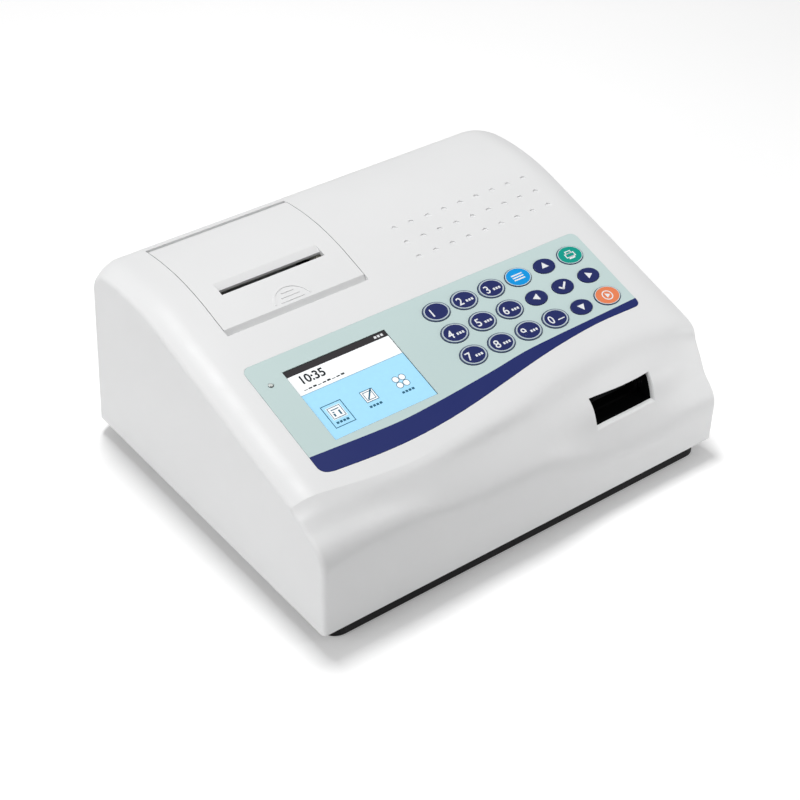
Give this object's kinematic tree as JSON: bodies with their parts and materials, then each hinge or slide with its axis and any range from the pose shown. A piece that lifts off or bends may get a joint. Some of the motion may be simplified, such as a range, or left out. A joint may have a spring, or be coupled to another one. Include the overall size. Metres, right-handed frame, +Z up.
{
  "type": "urine analyzer",
  "caption": "Desktop reader for test strips with a sloping keypad and screen, a hinged printer cover and a strip tray behind a port in its wavy front.",
  "frame": {"origin": "on the table, below the middle of the housing's footprint", "axes": "+Z up, the operator stands on the -Y side, +X to the operator's right"},
  "size_m": [0.29, 0.242, 0.1291],
  "materials": {
    "housing": "satin",
    "cover": "satin",
    "base": "fine texture",
    "dark_plastic": "satin",
    "feet": "matte",
    "roller": "matte",
    "steel": "brushed",
    "overlay": "fine texture",
    "pane": "clear",
    "display": "smooth",
    "lamp": "smooth",
    "board": "satin",
    "key_navy": "satin",
    "key_blue": "satin",
    "key_green": "satin",
    "key_orange": "satin",
    "heat_sink": "satin",
    "gear": "satin",
    "bin": "satin",
    "paper": "matte",
    "core": "matte",
    "tray": "satin"
  },
  "bodies": {
    "root": {"upper_housing": "housing", "base_pan": "base", "feet": "feet", "case_screws": "steel", "keypad_overlay": "overlay", "screen_pane": "pane", "display_module": "display", "display_screws": "steel", "status_led": "lamp", "keypad_board": "board", "key_switches": "dark_plastic", "keypad_screws": "steel", "hinge_pins": "steel", "printer_frame": "steel", "thermal_head": "heat_sink", "feed_motor": "steel", "paper_bin": "bin", "tray_guide": "dark_plastic", "port_liner": "dark_plastic", "tray_motor": "steel", "motor_bracket": "steel", "optical_head": "dark_plastic", "optical_board": "board", "rear_panel": "dark_plastic", "switch_frame": "dark_plastic", "power_jack": "dark_plastic", "usb_port": "steel", "serial_port": "steel", "main_board": "board", "main_board_parts": "dark_plastic", "main_screws": "steel"},
    "cover": {"printer_cover": "cover"},
    "tray": {"strip_tray": "tray"},
    "tray_drive": {"tray_pinion": "gear"},
    "platen": {"platen_roller": "roller", "platen_gear": "gear"},
    "feed_drive": {"feed_pinion": "gear"},
    "roll": {"paper_roll": "paper", "roll_core": "core"},
    "rocker": {"power_rocker": "dark_plastic"},
    "key_0": {"key_0": "key_navy"},
    "key_1": {"key_1": "key_navy"},
    "key_2": {"key_2": "key_navy"},
    "key_3": {"key_3": "key_navy"},
    "key_4": {"key_4": "key_navy"},
    "key_5": {"key_5": "key_navy"},
    "key_6": {"key_6": "key_navy"},
    "key_7": {"key_7": "key_navy"},
    "key_8": {"key_8": "key_navy"},
    "key_9": {"key_9": "key_navy"},
    "key_menu": {"key_menu": "key_blue"},
    "key_print": {"key_print": "key_green"},
    "key_start": {"key_start": "key_orange"},
    "key_ok": {"key_ok": "key_navy"},
    "key_up": {"key_up": "key_navy"},
    "key_down": {"key_down": "key_navy"},
    "key_left": {"key_left": "key_navy"},
    "key_right": {"key_right": "key_navy"}
  },
  "joints": [
    {"name": "tray_slide", "type": "slide", "parent": "root", "child": "tray", "axis": [0, -1, 0], "range_m": [0, 0.08]},
    {"name": "tray_pinion_spin", "type": "hinge", "parent": "root", "child": "tray_drive", "pos_m": [0.0755, -0.009, 0.04725], "axis": [1, 0, 0], "range_deg": [-1, 575]},
    {"name": "cover_hinge", "type": "hinge", "parent": "root", "child": "cover", "pos_m": [-0.06505, 0.095, 0.12386], "axis": [-1, 0, 0], "range_deg": [0, 85]},
    {"name": "platen_spin", "type": "hinge", "parent": "root", "child": "platen", "pos_m": [-0.06505, 0.046, 0.112], "axis": [1, 0, 0], "continuous": true},
    {"name": "feed_pinion_spin", "type": "hinge", "parent": "root", "child": "feed_drive", "pos_m": [-0.03, 0.046, 0.0992], "axis": [1, 0, 0], "continuous": true},
    {"name": "roll_spin", "type": "hinge", "parent": "root", "child": "roll", "pos_m": [-0.06505, 0.077, 0.0985], "axis": [1, 0, 0], "continuous": true},
    {"name": "rocker_tilt", "type": "hinge", "parent": "root", "child": "rocker", "pos_m": [0.095, 0.11561, 0.04319], "axis": [0, 0.0732, -0.9973], "range_deg": [0, 14]},
    {"name": "key_0_press", "type": "slide", "parent": "root", "child": "key_0", "axis": [0, 0.2823, -0.9593], "range_m": [0, 0.0004], "stiffness_N_per_m": 2000, "springref_m": -0.0002},
    {"name": "key_1_press", "type": "slide", "parent": "root", "child": "key_1", "axis": [0, 0.2823, -0.9593], "range_m": [0, 0.0004], "stiffness_N_per_m": 2000, "springref_m": -0.0002},
    {"name": "key_2_press", "type": "slide", "parent": "root", "child": "key_2", "axis": [0, 0.2823, -0.9593], "range_m": [0, 0.0004], "stiffness_N_per_m": 2000, "springref_m": -0.0002},
    {"name": "key_3_press", "type": "slide", "parent": "root", "child": "key_3", "axis": [0, 0.2823, -0.9593], "range_m": [0, 0.0004], "stiffness_N_per_m": 2000, "springref_m": -0.0002},
    {"name": "key_4_press", "type": "slide", "parent": "root", "child": "key_4", "axis": [0, 0.2823, -0.9593], "range_m": [0, 0.0004], "stiffness_N_per_m": 2000, "springref_m": -0.0002},
    {"name": "key_5_press", "type": "slide", "parent": "root", "child": "key_5", "axis": [0, 0.2823, -0.9593], "range_m": [0, 0.0004], "stiffness_N_per_m": 2000, "springref_m": -0.0002},
    {"name": "key_6_press", "type": "slide", "parent": "root", "child": "key_6", "axis": [0, 0.2823, -0.9593], "range_m": [0, 0.0004], "stiffness_N_per_m": 2000, "springref_m": -0.0002},
    {"name": "key_7_press", "type": "slide", "parent": "root", "child": "key_7", "axis": [0, 0.2823, -0.9593], "range_m": [0, 0.0004], "stiffness_N_per_m": 2000, "springref_m": -0.0002},
    {"name": "key_8_press", "type": "slide", "parent": "root", "child": "key_8", "axis": [0, 0.2823, -0.9593], "range_m": [0, 0.0004], "stiffness_N_per_m": 2000, "springref_m": -0.0002},
    {"name": "key_9_press", "type": "slide", "parent": "root", "child": "key_9", "axis": [0, 0.2823, -0.9593], "range_m": [0, 0.0004], "stiffness_N_per_m": 2000, "springref_m": -0.0002},
    {"name": "key_menu_press", "type": "slide", "parent": "root", "child": "key_menu", "axis": [0, 0.2823, -0.9593], "range_m": [0, 0.0004], "stiffness_N_per_m": 2000, "springref_m": -0.0002},
    {"name": "key_print_press", "type": "slide", "parent": "root", "child": "key_print", "axis": [0, 0.2823, -0.9593], "range_m": [0, 0.0004], "stiffness_N_per_m": 2000, "springref_m": -0.0002},
    {"name": "key_start_press", "type": "slide", "parent": "root", "child": "key_start", "axis": [0, 0.2823, -0.9593], "range_m": [0, 0.0004], "stiffness_N_per_m": 2000, "springref_m": -0.0002},
    {"name": "key_ok_press", "type": "slide", "parent": "root", "child": "key_ok", "axis": [0, 0.2823, -0.9593], "range_m": [0, 0.0004], "stiffness_N_per_m": 2000, "springref_m": -0.0002},
    {"name": "key_up_press", "type": "slide", "parent": "root", "child": "key_up", "axis": [0, 0.2823, -0.9593], "range_m": [0, 0.0004], "stiffness_N_per_m": 2000, "springref_m": -0.0002},
    {"name": "key_down_press", "type": "slide", "parent": "root", "child": "key_down", "axis": [0, 0.2823, -0.9593], "range_m": [0, 0.0004], "stiffness_N_per_m": 2000, "springref_m": -0.0002},
    {"name": "key_left_press", "type": "slide", "parent": "root", "child": "key_left", "axis": [0, 0.2823, -0.9593], "range_m": [0, 0.0004], "stiffness_N_per_m": 2000, "springref_m": -0.0002},
    {"name": "key_right_press", "type": "slide", "parent": "root", "child": "key_right", "axis": [0, 0.2823, -0.9593], "range_m": [0, 0.0004], "stiffness_N_per_m": 2000, "springref_m": -0.0002}
  ],
  "couplings": [
    {"joint": "tray_pinion_spin", "follows": "tray_slide", "rad_per_m": 125},
    {"joint": "feed_pinion_spin", "follows": "platen_spin", "ratio": -1.6667}
  ]
}
